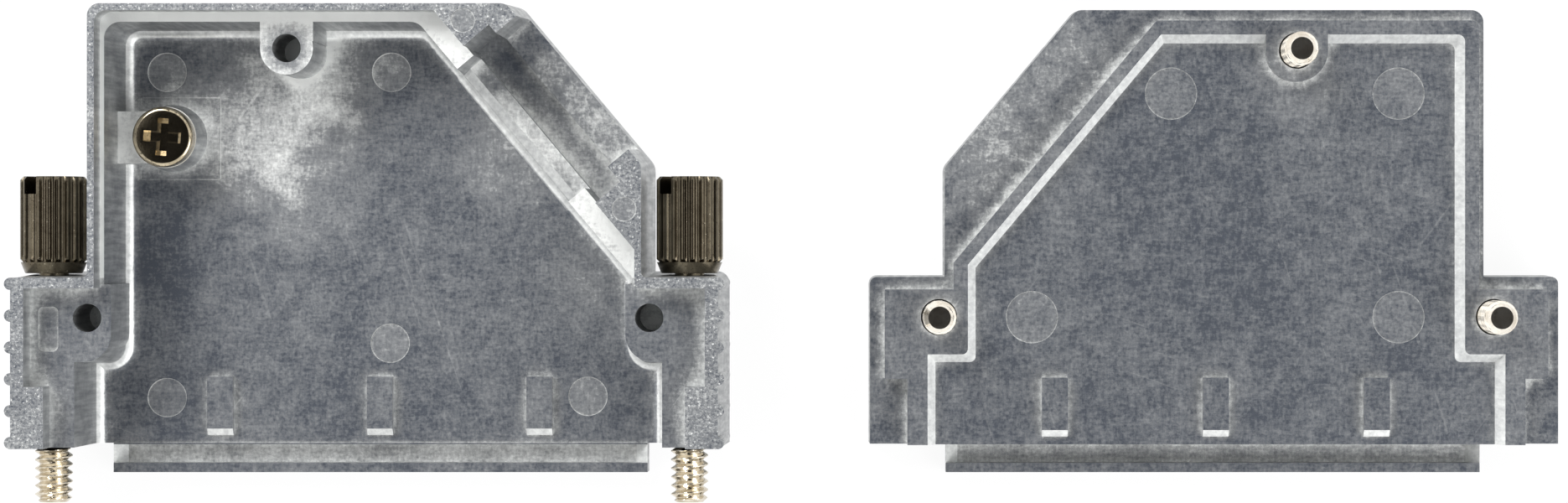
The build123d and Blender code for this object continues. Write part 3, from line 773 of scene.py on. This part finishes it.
class HOOD_OT_thumbscrews(bpy.types.Operator):
    """Makes the two jackscrews with fluted heads, driver slots and threads"""

    bl_idname = "hood.thumbscrews"
    bl_label = "Thumbscrews"

    def execute(self, context):
        settings = context.scene.hood
        # Both dark colours of the thumb heads are painted shade for the dark reflections on their nickel; the
        # threads keep plain nickel
        metals = [plated_steel("plated_head_painted_dark", tuple(settings.head_painted_dark), (0.075, 0.062, 0.042), 0.9, 0.14),
                  plated_steel("plated_thread", tuple(settings.dull_nickel), (0.38, 0.31, 0.20), 0.1, 0.06)]
        head_end = HEAD_START + HEAD_LENGTH
        collar_top = HEAD_START + COLLAR_LENGTH
        fluted_length = (HEAD_LENGTH - COLLAR_LENGTH) * MM
        thread_length = JACKSCREW_THREAD * MM
        flute_sizes = {"Radius": HEAD_RADIUS * MM, "Length": fluted_length, "Count": float(settings.flutes),
                       "Cut": settings.flute_depth, "Chamfer": HEAD_BEVEL * MM}
        thread_sizes = {"Radius": JACKSCREW_RADIUS * MM, "Length": thread_length,
                        "Pitch": settings.thread_pitch, "Cut": settings.thread_depth,
                        "Chamfer": JACKSCREW_TIP_BEVEL * MM}
        flute_tree, flute_sockets = radial_form(
            "Fluted head", flute_cut, flute_sizes, sides=settings.flutes * 12, rings=26, material=metals[0])
        thread_tree, thread_sockets = radial_form(
            "Jackscrew thread", thread_cut, thread_sizes, sides=48, rings=92, material=metals[1])
        for side, spin in JACKSCREW_TURNS.items():
            node = f"thumbscrew_{side}"
            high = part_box(node)[1]
            centre = centre_of(node)
            head = grown("fluted_head", flute_tree, flute_sockets, flute_sizes)
            head.transform(Matrix.Translation((0, 0, collar_top * MM + fluted_length / 2)))
            slot_width, slot_depth = DRIVER_SLOT
            head = cut_out(head, slot_tool(slot_width, 4 * HEAD_RADIUS, slot_depth, head_end))
            bevel_width, bevel_height = COLLAR_FOOT_BEVEL
            collar = turned([
                (0, HEAD_START),
                (COLLAR_FOOT_RADIUS - bevel_width, HEAD_START),
                (COLLAR_FOOT_RADIUS, HEAD_START + bevel_height),
                (COLLAR_TOP_RADIUS, collar_top + COLLAR_OVERLAP),
                (0, collar_top + COLLAR_OVERLAP),
            ])
            shank = turned([
                (0, -OVERLAP),
                (SHANK_RADIUS, -OVERLAP),
                (SHANK_RADIUS, HEAD_START + OVERLAP),
                (0, HEAD_START + OVERLAP),
            ])
            thread = grown("thread", thread_tree, thread_sockets, thread_sizes)
            thread.transform(Matrix.Translation((0, 0, JACKSCREW_TIP * MM + thread_length / 2)))
            face_y = high[1] - head_end * MM
            placement = (Matrix.Translation((centre.x, face_y, centre.z))
                         @ Matrix.Rotation(-math.pi / 2, 4, "X") @ Matrix.Rotation(spin, 4, "Z"))
            parts = [(head, 0), (collar, 0), (shank, 0), (thread, 1)]
            piece = joined(f"jackscrew_{side}", parts, metals, placement)
            settle(piece, node, [node])
        return {"FINISHED"}


class HOOD_OT_cover_screws(bpy.types.Operator):
    """Makes the three cover screws that stand tip up in the cover"""

    bl_idname = "hood.cover_screws"
    bl_label = "Cover screws"

    def execute(self, context):
        settings = context.scene.hood
        metal = plated_steel("plated_cover_screw", tuple(settings.nickel), (0.55, 0.48, 0.38), 0.2, 0.08)
        thread_length = COVER_THREAD * MM
        sizes = {"Radius": COVER_THREAD_RADIUS * MM, "Length": thread_length, "Pitch": settings.small_pitch,
                 "Cut": settings.small_depth, "Chamfer": COVER_TIP_BEVEL * MM}
        tree, sockets = radial_form(
            "Cover screw thread", thread_cut, sizes, sides=48, rings=224, material=metal)
        edge = [(COVER_HEAD_RADIUS - inwards, up) for inwards, up in COVER_HEAD_ROUND]
        for side, spin in COVER_SCREW_TURNS.items():
            node = f"cover_screw_{side}"
            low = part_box(node)[0]
            centre = centre_of(node)
            head = turned([(0, 0), *edge, (COVER_HEAD_RADIUS, COVER_HEAD_LENGTH), (0, COVER_HEAD_LENGTH)])
            cross = cross_tool(*COVER_CROSS, 0.0)
            cross.transform(Matrix.Rotation(math.pi, 4, "X"))
            head = cut_out(head, cross)
            neck_start = COVER_HEAD_LENGTH - OVERLAP
            neck = turned([(0, neck_start), (COVER_NECK_RADIUS, neck_start),
                           (COVER_NECK_RADIUS, COVER_NECK_END), (0, COVER_NECK_END)])
            thread = grown("thread", tree, sockets, sizes)
            thread.transform(Matrix.Translation((0, 0, COVER_SCREW_LENGTH * MM - thread_length / 2)))
            placement = Matrix.Translation((centre.x, centre.y, low[2])) @ Matrix.Rotation(spin, 4, "Z")
            parts = [(head, 0), (neck, 0), (thread, 0)]
            piece = joined(f"cover_fixing_{side}", parts, [metal], placement)
            settle(piece, "housing", [node])
        return {"FINISHED"}


class HOOD_OT_ground_screw(bpy.types.Operator):
    """Makes the cross-recess screw on its boss in the base half"""

    bl_idname = "hood.ground_screw"
    bl_label = "Ground screw"

    def execute(self, context):
        metal = plated_steel("plated_ground_screw", (0.50, 0.43, 0.31), (0.30, 0.25, 0.17), 0.9, 0.02)
        node = "ground_screw"
        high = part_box(node)[1]
        centre = centre_of(node)
        flat_radius = GROUND_HEAD_RADIUS - GROUND_HEAD_ROUND
        edge_height = GROUND_HEAD_HEIGHT - GROUND_HEAD_ROUND
        edge = []
        for degrees in range(90, -1, -15):
            angle = math.radians(degrees)
            edge.append((flat_radius + GROUND_HEAD_ROUND * math.sin(angle),
                         edge_height + GROUND_HEAD_ROUND * math.cos(angle)))
        head = turned([(0, 0), (GROUND_HEAD_RADIUS, 0), *edge, (0, GROUND_HEAD_HEIGHT)])
        head = cut_out(head, cross_tool(*GROUND_CROSS, GROUND_HEAD_HEIGHT))
        shank = turned([(0, -GROUND_SHANK_LENGTH), (GROUND_TIP_RADIUS, -GROUND_SHANK_LENGTH),
                        (GROUND_SHANK_RADIUS, GROUND_TIP_LENGTH - GROUND_SHANK_LENGTH),
                        (GROUND_SHANK_RADIUS, OVERLAP), (0, OVERLAP)])
        seat = high[2] - GROUND_HEAD_HEIGHT * MM
        placement = (Matrix.Translation((centre.x, centre.y, seat))
                     @ Matrix.Rotation(math.radians(GROUND_SCREW_TURN), 4, "Z"))
        piece = joined("lead_screw", [(head, 0), (shank, 0)], [metal], placement)
        settle(piece, "housing", [node])
        return {"FINISHED"}


class HOOD_OT_stage(bpy.types.Operator):
    """Makes the white table, the soft surrounding light and the camera above"""

    bl_idname = "hood.stage"
    bl_label = "Stage"

    def execute(self, context):
        scene = context.scene
        reach = TABLE_REACH
        form = bmesh.new()
        corners = [form.verts.new((x, y, -TABLE_GAP * MM)) for x, y in
                   ((-reach, -reach), (reach, -reach), (reach, reach), (-reach, reach))]
        form.faces.new(corners)
        mesh = bpy.data.meshes.new("table")
        form.to_mesh(mesh)
        form.free()
        table = object_of(mesh, "table")
        table.data.materials.append(self.table_paint())
        self.light(scene)
        self.camera(scene)
        return {"FINISHED"}

    def table_paint(self):
        """White paper that looks white to the lens and in reflections, and takes a faint shadow."""
        material = bpy.data.materials.new("white_table")
        material.use_nodes = True
        tree = material.node_tree
        tree.nodes.clear()
        out = tree.nodes.new("ShaderNodeOutputMaterial")
        glow = add_node(tree, "ShaderNodeEmission")
        glow.inputs["Color"].default_value = (1, 1, 1, 1)
        glow.inputs["Strength"].default_value = 1.0
        paper = add_node(tree, "ShaderNodeBsdfDiffuse")
        paper.inputs["Color"].default_value = (0.9, 0.9, 0.9, 1)
        path = tree.nodes.new("ShaderNodeLightPath")
        seen = math_node(tree, "MAXIMUM", path.outputs["Is Camera Ray"], path.outputs["Is Glossy Ray"])
        seen = math_node(tree, "MAXIMUM", seen, path.outputs["Is Transmission Ray"])
        mix = tree.nodes.new("ShaderNodeMixShader")
        tree.links.new(math_node(tree, "MULTIPLY", seen, 0.9), mix.inputs[0])
        tree.links.new(paper.outputs[0], mix.inputs[1])
        tree.links.new(glow.outputs[0], mix.inputs[2])
        tree.links.new(mix.outputs[0], out.inputs[0])
        return material

    def light(self, scene):
        """An even white surround that is darker straight above, where the camera stands."""
        world = bpy.data.worlds.new("surround")
        scene.world = world
        world.use_nodes = True
        tree = world.node_tree
        tree.nodes.clear()
        out = tree.nodes.new("ShaderNodeOutputWorld")
        back = tree.nodes.new("ShaderNodeBackground")
        way = tree.nodes.new("ShaderNodeTexCoord")
        split = tree.nodes.new("ShaderNodeSeparateXYZ")
        tree.links.new(way.outputs["Generated"], split.inputs[0])
        overhead = step(tree, split.outputs["Z"], *OVERHEAD)
        level = math_node(tree, "SUBTRACT", SURROUND, product(tree, [overhead, SURROUND_LOSS_ABOVE]))
        path = tree.nodes.new("ShaderNodeLightPath")
        seen = path.outputs["Is Camera Ray"]
        unseen = math_node(tree, "SUBTRACT", 1.0, seen)
        level = math_node(tree, "ADD", math_node(tree, "MULTIPLY", level, unseen), seen)
        back.inputs["Color"].default_value = (1, 1, 1, 1)
        tree.links.new(level, back.inputs["Strength"])
        tree.links.new(back.outputs[0], out.inputs[0])
        for name, place, size, power in LAMPS:
            lamp = bpy.data.lights.new(name, "AREA")
            lamp.size = size
            lamp.energy = power
            lamp_object = bpy.data.objects.new(name, lamp)
            lamp_object.location = place
            lamp_object.rotation_euler = (-Vector(place)).to_track_quat("-Z", "Y").to_euler()
            scene.collection.objects.link(lamp_object)

    def camera(self, scene):
        """The photograph's camera, straight above and to the right of the image's middle."""
        base_centre = centre_of("base_shell")
        data = bpy.data.cameras.new("camera")
        data.sensor_width = SENSOR_WIDTH
        data.lens = FOCAL_PX / IMAGE_WIDTH * SENSOR_WIDTH
        data.shift_x = (IMAGE_WIDTH / 2 - LENS_AXIS_PX) / IMAGE_WIDTH
        data.clip_start = 0.01
        data.clip_end = 20
        camera = bpy.data.objects.new("camera", data)
        camera.location = (base_centre.x - BASE_CENTRE_FROM_LENS_MM * MM, 0, LENS_HEIGHT_MM * MM)
        scene.collection.objects.link(camera)
        scene.camera = camera
        scene.view_settings.view_transform = "Standard"


class HOOD_PT_panel(bpy.types.Panel):
    """Lists the steps and the sizes"""

    bl_label = "Connector hood"
    bl_idname = "HOOD_PT_panel"
    bl_space_type = "VIEW_3D"
    bl_region_type = "UI"
    bl_category = "Hood"

    def draw(self, context):
        for name in HoodSettings.__annotations__:
            self.layout.prop(context.scene.hood, name)
        for step_class in STEPS:
            self.layout.operator(step_class.bl_idname)


STEPS = (HOOD_OT_castings, HOOD_OT_thumbscrews, HOOD_OT_cover_screws, HOOD_OT_ground_screw, HOOD_OT_stage)
CLASSES = (HoodSettings, *STEPS, HOOD_PT_panel)


def register():
    """Makes the classes and the scene's settings known to Blender."""
    for one in CLASSES:
        bpy.utils.register_class(one)
    bpy.types.Scene.hood = bpy.props.PointerProperty(type=HoodSettings)


def unregister():
    """Takes them out again."""
    del bpy.types.Scene.hood
    for one in reversed(CLASSES):
        bpy.utils.unregister_class(one)


def main():
    """Dresses the frame's object and builds its stage."""
    register()
    bpy.ops.hood.castings()
    bpy.ops.hood.thumbscrews()
    bpy.ops.hood.cover_screws()
    bpy.ops.hood.ground_screw()
    bpy.ops.hood.stage()


if __name__ == "__main__":
    main()
